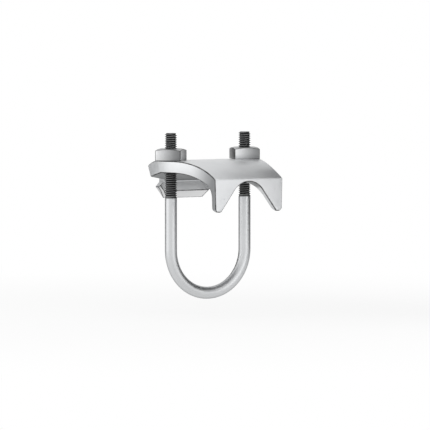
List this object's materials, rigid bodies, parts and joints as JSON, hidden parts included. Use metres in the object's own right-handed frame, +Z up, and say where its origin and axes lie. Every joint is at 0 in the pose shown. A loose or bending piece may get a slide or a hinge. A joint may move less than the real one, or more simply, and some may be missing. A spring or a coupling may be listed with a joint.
{
  "type": "right angle conduit clamp",
  "caption": "Cast saddle with a forked front and a hooked tongue, drawn down by a threaded U-bolt and square nuts to hold a conduit crosswise under a beam flange.",
  "frame": {"origin": "on the conduit's axis, in the middle of the U-bolt's bend", "axes": "+X from the left leg to the right leg, +Y along the conduit from the saddle's fork to its tongue, +Z up along the legs towards the nuts"},
  "size_m": [0.0806, 0.0824, 0.1103],
  "materials": {
    "saddle_casting": "malleable iron casting, zinc plated, satin with a fine cast grain",
    "bolt_steel": "drawn steel rod, zinc plated, satin, threaded at both ends",
    "nut_steel": "pressed steel, zinc plated, satin"
  },
  "bodies": {
    "saddle": {"saddle": "saddle_casting"},
    "u_bolt": {"u_bolt": "bolt_steel"},
    "left_nut": {"left_nut": "nut_steel"},
    "right_nut": {"right_nut": "nut_steel"}
  },
  "joints": [
    {"name": "u_bolt_take_up", "type": "slide", "parent": "saddle", "child": "u_bolt", "axis": [0, 0, 1], "range_m": [-0.00988, 0.02258]},
    {"name": "left_nut_turn", "type": "hinge", "parent": "saddle", "child": "left_nut", "pos_m": [-0.0287, 0, 0.0596], "axis": [0, 0, -1], "range_deg": [-2520, 5760]},
    {"name": "right_nut_turn", "type": "hinge", "parent": "saddle", "child": "right_nut", "pos_m": [0.0287, 0, 0.0596], "axis": [0, 0, -1], "range_deg": [-2520, 5760]}
  ],
  "couplings": [
    {"joint": "left_nut_turn", "follows": "u_bolt_take_up", "rad_per_m": 4452.7},
    {"joint": "right_nut_turn", "follows": "u_bolt_take_up", "rad_per_m": 4452.7}
  ]
}
